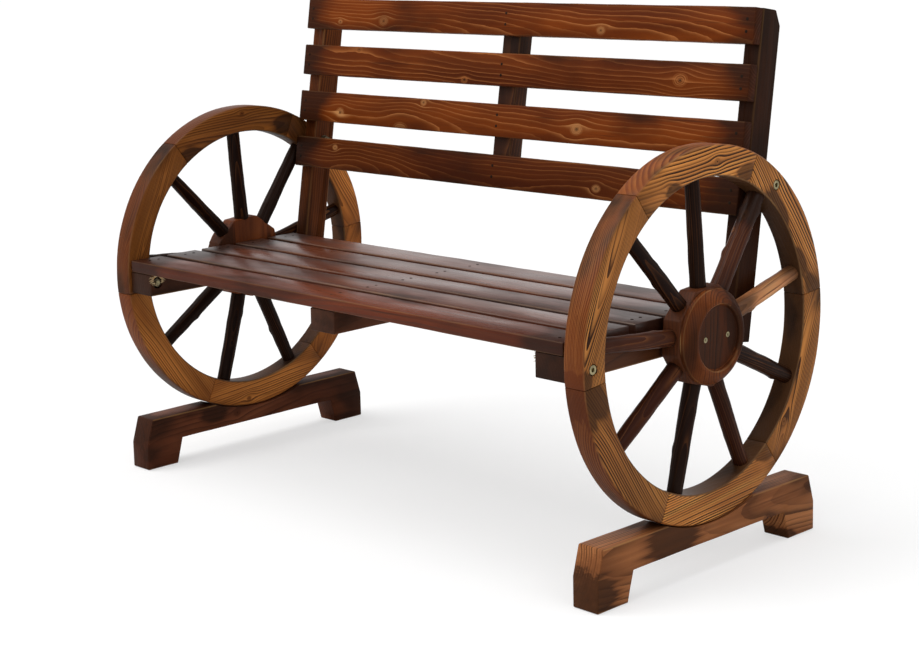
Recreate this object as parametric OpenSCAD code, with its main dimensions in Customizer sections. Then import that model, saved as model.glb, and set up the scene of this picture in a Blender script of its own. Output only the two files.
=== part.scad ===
// Garden bench for two on wagon wheels: a slatted seat and a leaning slatted back hang between
// two wooden wheels, each bolted through its rim and standing in the saddle of an arched foot.
// Millimetres. X runs along the seat, Y from the front to the back, Z up; the feet stand on Z = 0
// and the wheels are centred on Y = 0.

/* [Overall] */
// Width over the two feet, which the hub caps stand past
overall_w = 1044; // [900:1:1300]
// Height of the top of the back
overall_h = 785; // [740:1:860]

/* [Wheels] */
// Outside diameter of a wheel
wheel_d = 536; // [500:1:560]
// Height of a wheel's lowest point above the ground
wheel_lift = 69; // [56:1:80]
// Radial height of the rim
rim_h = 45; // [40:1:60]
// Thickness of the rim along the axle
rim_t = 36; // [30:1:42]
// Rounding of the rim's long edges
rim_ease = 3; // [1:0.5:6]
// Number of felloes that make up a rim
felloe_count = 6; // [5:1:8]
// Distance along the rim from a wheel bolt on to the next joint between felloes
joint_past_bolt = 23.6; // [23.5:0.1:34]
// Number of spokes
spoke_count = 9; // [8:1:10]
// Angle from a joint between felloes to the first spoke, in degrees
spoke_start = 28.5; // [27:0.5:33]

/* [Spokes] */
// Diameter of a spoke at its hub shoulder
spoke_hub_d = 26; // [22:0.5:28]
// Diameter of a spoke at its rim shoulder
spoke_rim_d = 23; // [20:0.5:28]
// Diameter of the tenons turned on both ends
tenon_d = 16; // [12:0.5:18]
// Length of the tenon in the hub
hub_tenon_l = 18; // [12:1:26]
// Length of the tenon in the rim
rim_tenon_l = 15; // [10:1:16]
// Chamfer round the shoulders of a spoke
shoulder_ease = 1.5; // [0.5:0.5:3]

/* [Hub] */
// Diameter over the corners of the faceted core
core_d = 148; // [140:1:180]
// Thickness of the faceted core, flush with the rim's outer face
core_t = 30; // [26:1:34]
// Diameter of the turned cap
cap_d = 137; // [110:1:150]
// Thickness of the turned cap, which stands on the core
cap_t = 17.5; // [14:0.5:20]
// Height of the cap's straight side, below its sloping front
cap_side = 4.5; // [2:0.5:8]
// Width of the flat ring between the slope and the dish
cap_land = 5; // [2:0.5:8]
// Diameter of the dish turned in the cap
dish_d = 92; // [70:1:100]
// Depth of the dish
dish_depth = 7; // [4:0.5:8]
// Chamfer at the mouth of the dish
dish_ease = 3; // [1:0.5:4]

/* [Feet] */
// Length of a foot
foot_l = 496; // [440:1:520]
// Height of a foot
foot_h = 87; // [80:1:100]
// Thickness of a foot
foot_w = 45; // [36:1:60]
// Distance by which a foot stands past the rim's outer face
foot_proud = 3; // [0:0.5:6]
// Height of the arch under a foot
arch_h = 43; // [30:1:48]
// Length of the pad at each end that stands on the ground
pad_l = 64; // [50:1:80]
// Slope of the arch's sides, as the run from the ground to the soffit
arch_run = 12; // [4:1:20]
// Height at which a foot's end face starts to slope
end_knee_h = 44; // [30:1:60]
// Run of the sloping upper part of the end face
end_run = 12.5; // [6:0.5:20]

/* [Seat] */
// Height of the top of the seat
seat_h = 368; // [350:1:390]
// Front edge of the seat, measured forward from the wheel's centre
seat_front = 264; // [250:1:270]
// Depth of the seat
seat_depth = 361; // [345:1:366]
// Clearance between the ends of the seat slats and the rims
slat_end_play = 3; // [1:0.5:8]
// Number of seat slats
seat_slats = 5; // [4:1:6]
// Gap between seat slats
seat_gap = 12.5; // [8:0.5:16]
// Thickness of a seat slat
seat_slat_t = 20; // [18:1:26]
// Rounding of the slats' long edges
slat_ease = 2.5; // [1:0.5:5]
// Width of a seat rail
rail_w = 55; // [46:1:60]
// Height of a seat rail
rail_h = 36; // [32:1:44]
// Distance from the seat's front edge back to the rails' ends
rail_setback = 2; // [0:0.5:6]

/* [Back] */
// Top front edge of the back, measured backward from the wheel's centre
back_y = 155; // [140:1:165]
// Lean of the back from upright, in degrees
lean = 9.13; // [7:0.1:11]
// Number of back slats
back_slats = 4; // [3:1:4]
// Width of a back slat
back_slat_w = 54; // [46:1:58]
// Gap between back slats
back_gap = 28; // [20:1:32]
// Thickness of a back slat
back_slat_t = 18; // [15:1:22]
// Width of a back post along the bench
post_w = 28; // [24:1:34]
// Depth of a back post
post_d = 44; // [38:1:50]
// Distance by which a back post reaches below its rail, at its front face
post_below = 6; // [2:0.5:12]
// Run of the cut on the post's top rear corner
post_cut_run = 13; // [6:1:20]
// Drop of the cut on the post's top rear corner
post_cut_drop = 22; // [10:1:30]
// Width of the middle batten behind the back slats
batten_w = 38; // [28:1:50]
// Depth of the middle batten
batten_d = 30; // [24:1:40]
// Distance from the back's top and bottom edges to the batten's ends
batten_inset = 5; // [2:1:20]

/* [Fasteners] */
// Shank diameter of the wheel bolts
bolt_d = 8; // [6:0.5:8]
// Head diameter of the wheel bolts
bolt_head_d = 13; // [10:0.5:13]
// Head height of the wheel bolts
bolt_head_h = 8; // [5:0.5:8]
// Depth of the bolt head below the rim's face
bolt_sink = 1; // [0.5:0.5:2]
// Distance from the rim's outer edge in to the bolts
bolt_inset = 19.5; // [16:0.5:24]
// Height of the front bolt above the middle of the rail
bolt_rise = 4; // [0:0.5:4.5]
// Outside diameter of the washers
washer_d = 17; // [15:0.5:17]
// Thickness of the washers
washer_t = 1.6; // [1:0.1:2.5]
// Width of the nuts across their flats
nut_flats = 13; // [11:0.5:13]
// Height of the nuts
nut_h = 6.5; // [5:0.5:7]
// Length of bolt that stands past its nut
bolt_past = 2; // [1:0.5:4]
// Depth of the pocket for the washer and nut in a rail
nut_pocket = 9; // [8:0.5:12]
// Diameter of the dowels between felloes
dowel_d = 10; // [6:0.5:12]
// Length of the dowels between felloes
dowel_l = 34; // [24:1:36]
// Shank diameter of the foot screws
foot_screw_d = 6; // [4:0.5:8]
// Length of the foot screws
foot_screw_l = 45; // [38:1:50]
// Distance between a foot's two screws
foot_screw_pitch = 70; // [50:1:80]
// Shank diameter of the screws that hold rails to posts
rail_screw_d = 5; // [4:0.5:6]
// Length of the screws that hold rails to posts
rail_screw_l = 45; // [38:1:50]
// Height between the two screws in one rail
rail_screw_pitch = 16; // [12:1:18]
// Shank diameter of the hub cap screws
cap_screw_d = 4; // [3:0.5:5]
// Length of the hub cap screws
cap_screw_l = 24; // [18:1:30]
// Distance between a cap's two screws
cap_screw_pitch = 50; // [36:1:60]
// Shank diameter of the nails in the slats
nail_d = 2.4; // [1.8:0.1:2.8]
// Head diameter of the nails
nail_head_d = 5; // [4:0.5:6]
// Thickness of the nail heads
nail_head_t = 1.2; // [0.8:0.1:1.6]
// Length of the nails in the seat
seat_nail_l = 40; // [32:1:50]
// Length of the nails in the back
back_nail_l = 34; // [28:1:38]
// Distance between the two nails at each crossing
nail_pitch = 18; // [14:1:20]

/* [Fits] */
// Play of a shank, tenon or dowel in its hole, on the diameter
hole_play = 0.3; // [0.2:0.1:0.5]
// Room left past the end of a tenon, dowel, screw or nail
end_room = 1; // [0.5:0.5:2]
// Clearance between a rim and the saddle of its foot
saddle_play = 0.2; // [0.1:0.1:0.5]
// Clearance between a post's front and its housing in the rail
housing_play = 0.2; // [0.1:0.1:0.5]
// Clearance between a spoke's shoulder and the rim
shoulder_play = 0.1; // [0.05:0.05:0.3]

/* [Hidden] */
// Angles below are measured from +Y toward +Z in the plane of a wheel.
wheel_r = wheel_d / 2;
wheel_z = wheel_lift + wheel_r;
rim_in_r = wheel_r - rim_h;
foot_out_x = overall_w / 2;
rim_out_x = foot_out_x - foot_proud;
rim_in_x = rim_out_x - rim_t;
felloe_span = 360 / felloe_count;
spoke_span = 360 / spoke_count;
spoke_x = rim_t / 2;

core_out = rim_t;
core_in = core_out - core_t;
core_flat_r = core_d / 2 * cos(180 / spoke_count);
rim_shoulder_r = sqrt(rim_in_r ^ 2 - (spoke_rim_d / 2) ^ 2) - shoulder_play;

seat_slat_w = (seat_depth - (seat_slats - 1) * seat_gap) / seat_slats;
rail_top = seat_h - seat_slat_t;
rail_bottom = rail_top - rail_h;
rail_front = rail_setback - seat_front;
seat_slat_l = 2 * (rim_in_x - slat_end_play);

post_front = back_slat_t;
post_rear = back_slat_t + post_d;
post_mid = back_slat_t + post_d / 2;
post_in_x = rim_in_x - post_w;
post_l = (overall_h - post_front * sin(lean) - rail_bottom + post_below) / cos(lean);
back_l = 2 * rim_in_x;
back_pitch = back_slat_w + back_gap;
back_drop = back_slats * back_pitch - back_gap;

// Both bolts lie on one circle in the rim: the front one where it crosses the rail,
// the rear one where it crosses the middle of the leaning post.
bolt_r = wheel_r - bolt_inset;
front_bolt_z = rail_bottom + rail_h / 2 + bolt_rise;
front_bolt_y = -sqrt(bolt_r ^ 2 - (front_bolt_z - wheel_z) ^ 2);
post_top_y = back_y + post_mid * cos(lean);
post_top_z = overall_h - post_mid * sin(lean) - wheel_z;
post_along = post_top_y * sin(lean) + post_top_z * cos(lean);
rear_bolt_u = sqrt(post_along ^ 2 - post_top_y ^ 2 - post_top_z ^ 2 + bolt_r ^ 2) - post_along;
rear_bolt_y = post_top_y + rear_bolt_u * sin(lean);
rear_bolt_z = post_top_z + rear_bolt_u * cos(lean) + wheel_z;

// A wheel is turned so that each bolt passes through the body of a felloe, clear of its joints.
front_bolt_a = 180 + atan((wheel_z - front_bolt_z) / -front_bolt_y);
rear_bolt_a = atan2(rear_bolt_z - wheel_z, rear_bolt_y);
felloes_between = round((front_bolt_a - rear_bolt_a) / felloe_span);
past_bolt_a = joint_past_bolt / bolt_r * 180 / PI;
joint_a = max(front_bolt_a, rear_bolt_a + felloes_between * felloe_span) + past_bolt_a;
felloe_start = joint_a - floor(felloe_count / 2) * felloe_span;

cut = 1;
$fn = 96;

side_names = ["left", "right"];

// Y of the plane that lies v behind the face of the back, at height z
function lean_y(v, z) = back_y + v / cos(lean) - (overall_h - z) * tan(lean);

function seat_slat_y(i) = -seat_front + (i - 1) * (seat_slat_w + seat_gap);
function back_slat_u(i) = -(i - 1) * back_pitch - back_slat_w;
function felloe_angle(i) = felloe_start + (i - 1) * felloe_span;
function spoke_angle(i) = felloe_angle(2) + spoke_start + (i - 1) * spoke_span;
function rail_centre_x(k) = k * (rim_in_x - rail_w / 2);

// Frames of reference

// Mirrors its children to the named side; they are drawn for the right side.
module on_side(side) {
    mirror([side == "left" ? 1 : 0, 0, 0])
        children();
}

// Plane of a wheel: x to the back, y up, z outward from the rim's inner face
module wheel_plane() {
    translate([rim_in_x, 0, wheel_z])
        rotate([90, 0, 90])
            children();
}

// Plane of the back: y behind the face of the slats, z along the lean, origin at the top edge
module back_plane() {
    translate([0, back_y, overall_h])
        rotate([-lean, 0, 0])
            children();
}

// Draws a profile of (Y, Z) and carries it along X.
module along_x(from_x, length) {
    translate([from_x, 0, 0])
        rotate([90, 0, 90])
            linear_extrude(length)
                children();
}

// Shared shapes

// Rectangle from the origin with rounded corners
module eased_rect(w, h, r) {
    translate([r, 0])
        square([w - 2 * r, h]);
    translate([0, r])
        square([w, h - 2 * r]);
    for (x = [r, w - r], y = [r, h - r])
        translate([x, y])
            circle(r = r, $fn = 24);
}

// Countersunk wood screw that points along +Z, its head flush with z = 0
module wood_screw(d, l) {
    head_d = 2 * d;
    tip_l = d;
    rotate_extrude($fn = 32)
        polygon([[0, 0], [head_d / 2, 0], [d / 2, d / 2], [d / 2, l - tip_l], [d / 8, l], [0, l]]);
}

// Hole for that screw
module wood_screw_hole(d, l) {
    r = (d + hole_play) / 2;
    head_r = d + hole_play / 2;
    translate([0, 0, -cut])
        cylinder(r = head_r, h = cut + hole_play, $fn = 32);
    translate([0, 0, hole_play])
        cylinder(r1 = head_r, r2 = r, h = d / 2, $fn = 32);
    cylinder(r = r, h = l + end_room, $fn = 32);
}

// Flat-headed nail that points along +Z, its head flush with z = 0
module nail(l) {
    rotate_extrude($fn = 16)
        polygon([
            [0, 0], [nail_head_d / 2, 0], [nail_head_d / 2, nail_head_t], [nail_d / 2, nail_head_t],
            [nail_d / 2, l - nail_d], [0, l]]);
}

module nail_hole(l) {
    translate([0, 0, -cut])
        cylinder(d = nail_head_d + hole_play, h = cut + nail_head_t, $fn = 16);
    cylinder(d = nail_d + hole_play, h = l + end_room, $fn = 16);
}

// Places of the fasteners

module at_spoke(i) {
    rotate([0, 0, spoke_angle(i)])
        translate([0, 0, spoke_x])
            rotate([0, 90, 0])
                children();
}

module at_dowel(i) {
    rotate([0, 0, felloe_angle(i)])
        translate([wheel_r - rim_h / 2, 0, rim_t / 2])
            rotate([90, 0, 0])
                children();
}

// Front and rear wheel bolts of the right side, pointing inward from the rim's outer face
module at_bolts() {
    for (p = [[front_bolt_y, front_bolt_z], [rear_bolt_y, rear_bolt_z]])
        translate([rim_out_x, p[0], p[1]])
            rotate([0, -90, 0])
                children();
}

module at_foot_screws() {
    for (k = [-1, 1])
        translate([rim_out_x - rim_t / 2, k * foot_screw_pitch / 2, arch_h])
            children();
}

// Screws from a rail's inner side outward into its post
module at_rail_screws() {
    for (k = [-1, 1]) {
        z = rail_bottom + rail_h / 2 + k * rail_screw_pitch / 2;
        translate([rim_in_x - rail_w, lean_y(post_mid, z), z])
            rotate([0, 90, 0])
                children();
    }
}

module at_cap_screws() {
    for (k = [-1, 1])
        translate([k * cap_screw_pitch / 2, 0, core_out + cap_t - dish_depth])
            rotate([180, 0, 0])
                children();
}

module at_seat_nails(i) {
    for (k = [-1 : 1], m = [-1, 1])
        translate([rail_centre_x(k), seat_slat_y(i) + seat_slat_w / 2 + m * nail_pitch / 2, seat_h])
            rotate([180, 0, 0])
                children();
}

module at_back_nails(i) {
    for (k = [-1 : 1], m = [-1, 1])
        back_plane()
            translate([k * (rim_in_x - post_w / 2), 0, back_slat_u(i) + back_slat_w / 2 + m * nail_pitch / 2])
                rotate([-90, 0, 0])
                    children();
}

// Wheels

module wheel_bolt_holes() {
    head_room = bolt_head_h + bolt_sink;
    at_bolts() {
        translate([0, 0, -cut])
            cylinder(d = bolt_head_d + 10 * hole_play, h = cut + head_room);
        cylinder(d = bolt_d + hole_play, h = rim_t + rail_w + cut);
    }
}

// One sixth of a rim, mitred to its neighbours and bored for spokes, dowels and bolts
module felloe(side, i) {
    color("#8a5529")
        on_side(side)
            difference() {
                wheel_plane()
                    difference() {
                        rotate([0, 0, felloe_angle(i)])
                            rotate_extrude(angle = felloe_span, $fn = 180)
                                translate([rim_in_r, 0])
                                    eased_rect(rim_h, rim_t, rim_ease);
                        for (k = [1 : spoke_count])
                            at_spoke(k)
                                translate([0, 0, rim_in_r - rim_h])
                                    cylinder(d = tenon_d + hole_play, h = rim_h + rim_tenon_l + end_room, $fn = 48);
                        for (k = [i, i + 1])
                            at_dowel(k)
                                cylinder(d = dowel_d + hole_play, h = dowel_l + 2 * end_room, center = true, $fn = 32);
                    }
                wheel_bolt_holes();
                at_foot_screws()
                    wood_screw_hole(foot_screw_d, foot_screw_l);
            }
}

// Round stick, thicker at the hub, with a turned tenon on each end
module spoke(side, i) {
    tenon_r = tenon_d / 2;
    hub_r = spoke_hub_d / 2;
    rim_r = spoke_rim_d / 2;
    color("#4a2c1a")
        on_side(side)
            wheel_plane()
                at_spoke(i)
                    rotate_extrude($fn = 48)
                        polygon([
                            [0, core_flat_r - hub_tenon_l], [tenon_r, core_flat_r - hub_tenon_l],
                            [tenon_r, core_flat_r], [hub_r - shoulder_ease, core_flat_r],
                            [hub_r, core_flat_r + shoulder_ease], [rim_r, rim_shoulder_r - shoulder_ease],
                            [rim_r - shoulder_ease, rim_shoulder_r], [tenon_r, rim_shoulder_r],
                            [tenon_r, rim_in_r + rim_tenon_l], [0, rim_in_r + rim_tenon_l]]);
}

// Faceted core with one flat for the shoulder of each spoke
module hub_core(side) {
    color("#6e3d20")
        on_side(side)
            wheel_plane()
                difference() {
                    translate([0, 0, core_in])
                        rotate([0, 0, spoke_angle(1) - spoke_span / 2])
                            cylinder(d = core_d, h = core_t, $fn = spoke_count);
                    for (k = [1 : spoke_count])
                        at_spoke(k)
                            translate([0, 0, core_flat_r - hub_tenon_l - end_room])
                                cylinder(d = tenon_d + hole_play, h = core_d, $fn = 48);
                    at_cap_screws()
                        wood_screw_hole(cap_screw_d, cap_screw_l);
                }
}

// Turned cap with a straight side, a sloping front, a flat ring and a dish
module hub_cap(side) {
    mouth_r = dish_d / 2 + dish_ease;
    color("#7c4322")
        on_side(side)
            wheel_plane()
                difference() {
                    translate([0, 0, core_out])
                        rotate_extrude($fn = 120)
                            polygon([
                                [0, 0], [cap_d / 2, 0], [cap_d / 2, cap_side],
                                [mouth_r + cap_land, cap_t], [mouth_r, cap_t],
                                [dish_d / 2, cap_t - dish_ease], [dish_d / 2, cap_t - dish_depth],
                                [0, cap_t - dish_depth]]);
                    at_cap_screws()
                        wood_screw_hole(cap_screw_d, cap_screw_l);
                }
}

// Foot: a beam on two pads, hollowed on top where the rim stands
module foot(side) {
    half_l = foot_l / 2;
    color("#5d3820")
        on_side(side)
            difference() {
                along_x(foot_out_x - foot_w, foot_w)
                    difference() {
                        polygon([
                            [-half_l, 0], [-half_l + pad_l, 0], [-half_l + pad_l + arch_run, arch_h],
                            [half_l - pad_l - arch_run, arch_h], [half_l - pad_l, 0], [half_l, 0],
                            [half_l, end_knee_h], [half_l - end_run, foot_h],
                            [-half_l + end_run, foot_h], [-half_l, end_knee_h]]);
                        translate([0, wheel_z])
                            circle(r = wheel_r + saddle_play, $fn = 180);
                    }
                at_foot_screws()
                    wood_screw_hole(foot_screw_d, foot_screw_l);
            }
}

// Seat

module seat_slat(i) {
    color("#6b4a3c")
        difference() {
            along_x(-seat_slat_l / 2, seat_slat_l)
                translate([seat_slat_y(i), rail_top])
                    eased_rect(seat_slat_w, seat_slat_t, slat_ease);
            at_seat_nails(i)
                nail_hole(seat_nail_l);
        }
}

module all_seat_nail_holes() {
    for (i = [1 : seat_slats])
        at_seat_nails(i)
            nail_hole(seat_nail_l);
}

// Side rail, housed round the foot of the post at its rear end
module seat_rail(side) {
    below = rail_bottom - cut;
    above = rail_top + cut;
    color("#3f2517")
        on_side(side)
            difference() {
                along_x(rim_in_x - rail_w, rail_w)
                    polygon([
                        [rail_front, rail_bottom], [lean_y(post_rear, rail_bottom), rail_bottom],
                        [lean_y(post_rear, rail_top), rail_top], [rail_front, rail_top]]);
                along_x(post_in_x, post_w + cut)
                    polygon([
                        [lean_y(post_front - housing_play, below), below], [lean_y(post_rear + cut, below), below],
                        [lean_y(post_rear + cut, above), above], [lean_y(post_front - housing_play, above), above]]);
                wheel_bolt_holes();
                translate([rim_in_x - rail_w - cut, front_bolt_y, front_bolt_z])
                    rotate([0, 90, 0])
                        cylinder(d = washer_d + 10 * hole_play, h = nut_pocket + cut);
                at_rail_screws()
                    wood_screw_hole(rail_screw_d, rail_screw_l);
                all_seat_nail_holes();
            }
}

module middle_seat_rail() {
    color("#4b2d1a")
        difference() {
            along_x(-rail_w / 2, rail_w)
                translate([rail_front, rail_bottom])
                    square([seat_depth - rail_setback, rail_h]);
            all_seat_nail_holes();
        }
}

// Back

module back_slat(i) {
    color("#7a3f1f")
        difference() {
            back_plane()
                along_x(-back_l / 2, back_l)
                    translate([0, back_slat_u(i)])
                        eased_rect(back_slat_t, back_slat_w, slat_ease);
            at_back_nails(i)
                nail_hole(back_nail_l);
        }
}

module all_back_nail_holes() {
    for (i = [1 : back_slats])
        at_back_nails(i)
            nail_hole(back_nail_l);
}

// Leaning post with its top rear corner cut off
module back_post(side) {
    color("#4a2a1b")
        difference() {
            on_side(side)
                difference() {
                    back_plane()
                        along_x(post_in_x, post_w)
                            polygon([
                                [post_front, -post_l], [post_rear, -post_l], [post_rear, -post_cut_drop],
                                [post_rear - post_cut_run, 0], [post_front, 0]]);
                    wheel_bolt_holes();
                    at_rail_screws()
                        wood_screw_hole(rail_screw_d, rail_screw_l);
                }
            all_back_nail_holes();
        }
}

module middle_batten() {
    color("#4e2e1b")
        difference() {
            back_plane()
                along_x(-batten_w / 2, batten_w)
                    translate([post_front, batten_inset - back_drop])
                        square([batten_d, back_drop - 2 * batten_inset]);
            all_back_nail_holes();
        }
}

// Fasteners

module both_sides() {
    for (s = side_names)
        on_side(s)
            children();
}

// Socket-head bolts; the front one ends in the rail's pocket, the rear one past the post
module wheel_bolts() {
    key_d = bolt_d * 0.85;
    front_l = rim_t + rail_w - nut_pocket + washer_t + nut_h + bolt_past;
    rear_l = rim_t + post_w + washer_t + nut_h + bolt_past;
    reach = [front_l, rear_l];
    color("#b9b4a0")
        both_sides()
            for (k = [0, 1])
                translate([rim_out_x, [front_bolt_y, rear_bolt_y][k], [front_bolt_z, rear_bolt_z][k]])
                    rotate([0, -90, 0])
                        difference() {
                            union() {
                                translate([0, 0, bolt_sink])
                                    cylinder(d = bolt_head_d, h = bolt_head_h, $fn = 48);
                                translate([0, 0, bolt_sink + bolt_head_h / 2])
                                    cylinder(d = bolt_d, h = reach[k] - bolt_sink - bolt_head_h / 2, $fn = 32);
                            }
                            translate([0, 0, bolt_sink - cut])
                                cylinder(d = key_d, h = bolt_head_h / 2 + cut, $fn = 6);
                        }
}

// Inner faces that the washers bear on, as depths from the rim's outer face
function bearing_depths() = [rim_t + rail_w - nut_pocket, rim_t + post_w];

module at_bearings() {
    y = [front_bolt_y, rear_bolt_y];
    z = [front_bolt_z, rear_bolt_z];
    for (k = [0, 1])
        translate([rim_out_x - bearing_depths()[k], y[k], z[k]])
            rotate([0, -90, 0])
                children();
}

module bolt_washers() {
    color("#a9a598")
        both_sides()
            at_bearings()
                difference() {
                    cylinder(d = washer_d, h = washer_t, $fn = 48);
                    translate([0, 0, -cut])
                        cylinder(d = bolt_d + hole_play, h = washer_t + 2 * cut, $fn = 32);
                }
}

module bolt_nuts() {
    color("#a9a598")
        both_sides()
            at_bearings()
                translate([0, 0, washer_t])
                    difference() {
                        cylinder(d = nut_flats / cos(30), h = nut_h, $fn = 6);
                        translate([0, 0, -cut])
                            cylinder(d = bolt_d + hole_play, h = nut_h + 2 * cut, $fn = 32);
                    }
}

module felloe_dowels() {
    color("#c79a62")
        both_sides()
            wheel_plane()
                for (i = [1 : felloe_count])
                    at_dowel(i)
                        cylinder(d = dowel_d, h = dowel_l, center = true, $fn = 32);
}

module foot_screws() {
    color("#8d8a80")
        both_sides()
            at_foot_screws()
                wood_screw(foot_screw_d, foot_screw_l);
}

module rail_screws() {
    color("#8d8a80")
        both_sides()
            at_rail_screws()
                wood_screw(rail_screw_d, rail_screw_l);
}

module hub_cap_screws() {
    color("#c9c5b8")
        both_sides()
            wheel_plane()
                at_cap_screws()
                    wood_screw(cap_screw_d, cap_screw_l);
}

module seat_nails() {
    color("#6f6a60")
        for (i = [1 : seat_slats])
            at_seat_nails(i)
                nail(seat_nail_l);
}

module back_nails() {
    color("#6f6a60")
        for (i = [1 : back_slats])
            at_back_nails(i)
                nail(back_nail_l);
}

for (s = side_names) {
    for (i = [1 : felloe_count])
        felloe(s, i);
    for (i = [1 : spoke_count])
        spoke(s, i);
    hub_core(s);
    hub_cap(s);
    foot(s);
    seat_rail(s);
    back_post(s);
}
for (i = [1 : seat_slats])
    seat_slat(i);
for (i = [1 : back_slats])
    back_slat(i);
middle_seat_rail();
middle_batten();
wheel_bolts();
bolt_washers();
bolt_nuts();
felloe_dowels();
foot_screws();
rail_screws();
hub_cap_screws();
seat_nails();
back_nails();
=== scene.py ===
"""Dresses the wagon wheel bench: charred fir boards, mitred rims, rustic sticks, screws and nails."""
import math
import random

import bmesh
import bpy
from bpy.props import FloatProperty, FloatVectorProperty, IntProperty, PointerProperty
from mathutils import Matrix, Vector


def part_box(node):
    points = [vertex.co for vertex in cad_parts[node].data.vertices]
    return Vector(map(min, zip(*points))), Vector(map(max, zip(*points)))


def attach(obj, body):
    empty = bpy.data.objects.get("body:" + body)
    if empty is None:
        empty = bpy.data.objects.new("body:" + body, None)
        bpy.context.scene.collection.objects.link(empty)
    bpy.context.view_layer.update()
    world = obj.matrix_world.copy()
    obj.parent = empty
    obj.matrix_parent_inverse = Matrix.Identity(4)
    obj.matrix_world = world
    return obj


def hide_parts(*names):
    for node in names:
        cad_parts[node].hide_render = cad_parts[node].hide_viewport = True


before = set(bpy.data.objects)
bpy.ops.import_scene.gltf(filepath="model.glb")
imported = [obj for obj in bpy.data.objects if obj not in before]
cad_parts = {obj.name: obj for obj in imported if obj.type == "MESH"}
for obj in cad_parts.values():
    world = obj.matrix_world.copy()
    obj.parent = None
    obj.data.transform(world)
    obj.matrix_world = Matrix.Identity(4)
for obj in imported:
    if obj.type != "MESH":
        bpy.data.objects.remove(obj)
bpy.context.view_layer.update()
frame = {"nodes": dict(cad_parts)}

bl_info = {
    "name": "Wagon wheel bench",
    "version": (1, 0, 0),
    "blender": (4, 5, 0),
    "location": "3D View > Sidebar > Bench",
    "description": "Builds the dressed pieces of a garden bench on wagon wheels",
    "category": "Object",
}

# Sizes, from the frame or as its source has them

SIDES = {"left": -1, "right": 1}
FELLOES, SPOKES = 6, 9
RIM = [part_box(f"right_felloe_{i}") for i in range(1, FELLOES + 1)]
RIM_OUT = RIM[0][1].x
RIM_IN = RIM[0][0].x
RIM_MID = (RIM_OUT + RIM_IN) / 2
RIM_T = RIM_OUT - RIM_IN
WHEEL_TOP = max(high.z for low, high in RIM)
WHEEL_LOW = min(low.z for low, high in RIM)
WHEEL_R = (WHEEL_TOP - WHEEL_LOW) / 2
WHEEL_Z = (WHEEL_TOP + WHEEL_LOW) / 2
RIM_H = 0.045
RIM_MEAN = WHEEL_R - RIM_H / 2
FIRST_JOINT, FIRST_SPOKE = math.radians(6.133), math.radians(94.633)
FELLOE_SPAN, SPOKE_SPAN = math.tau / FELLOES, math.tau / SPOKES
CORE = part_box("right_hub_core")
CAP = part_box("right_hub_cap")
CAP_SIDE, CAP_BROW, CAP_DISH = 0.0045, 0.054, 0.007
CORE_R = 0.074
CORE_FLAT = CORE_R * math.cos(math.pi / SPOKES)
TUCK = 0.003                              # how far a stick's ends reach into the hub and the rim
BOLT_R = 0.2485
BOLT_ANGLES = {3: math.radians(180.692), 1: math.radians(51.4805)}
SINK_R, SINK_DEEP = 0.008, 0.009          # counterbore of a bolt in the rim
LEAN = math.radians(9.13)
BACK_Y, BACK_TOP = 0.155, 0.785
BACK_SLAT, BACK_PITCH, BACK_GAP, BACK_T = 0.054, 0.082, 0.028, 0.018
BATTEN_W, BATTEN_T, BATTEN_SHORT = 0.038, 0.03, 0.005
SEAT_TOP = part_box("seat_slat_1")[1].z
RAIL_W, RAIL_H, POST_W, POST_D = 0.055, 0.036, 0.028, 0.044
RAIL_X = RIM_IN - RAIL_W / 2
POST_X = RIM_IN - POST_W / 2
FACE_SLACK = 0.0002                       # how near an edge is to a face that it lies on
ALONG_X = (0, math.pi / 2, 0)             # turn that lays a cylinder along the axle

# half of each piece's size along its grain, across it and through it
FELLOE_HALF = (0.135, RIM_H / 2, RIM_T / 2)
SPOKE_MID, SPOKE_HALF = 0.15, (0.078, 0.03, 0.03)
CORE_HALF, CAP_HALF = (CORE_R, CORE_R, 0.015), (0.0685, 0.0685, 0.00875)
FOOT_HALF = (0.248, 0.0435, 0.0225)
POST_HALF = (0.241, POST_W / 2, POST_D / 2)


def tone(code):
    """Linear colour of a screen colour written as RRGGBB."""
    parts = [int(code[i:i + 2], 16) / 255 for i in (0, 2, 4)]
    return tuple(c / 12.92 if c <= 0.04045 else ((c + 0.055) / 1.055) ** 2.4 for c in parts)


def colour_prop(label, about, code):
    return FloatVectorProperty(name=label, description=about, default=tone(code), size=3, min=0, max=1,
                               subtype="COLOR")


def length_prop(label, about, default, low, high):
    return FloatProperty(name=label, description=about, default=default, min=low, max=high, unit="LENGTH")


class BenchSizes(bpy.types.PropertyGroup):
    """Sizes a maker may change without touching the frame."""
    ease: length_prop("Eased edges", "Rounding of the boards' edges", 0.0022, 0.0005, 0.005)
    rim_ease: length_prop("Rim edges", "Rounding of the rims' long edges", 0.003, 0.001, 0.006)
    waviness: length_prop("Waviness", "How far the brushed faces sink in", 0.0009, 0, 0.003)
    wander: length_prop("Stick wander", "How far a stick strays from straight", 0.0018, 0, 0.01)
    board_cuts: IntProperty(name="Board cuts", description="Cross sections along a board",
                            default=36, min=4, max=80)
    spin_steps: IntProperty(name="Rim steps", description="Steps round one felloe",
                            default=22, min=8, max=48)


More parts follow.
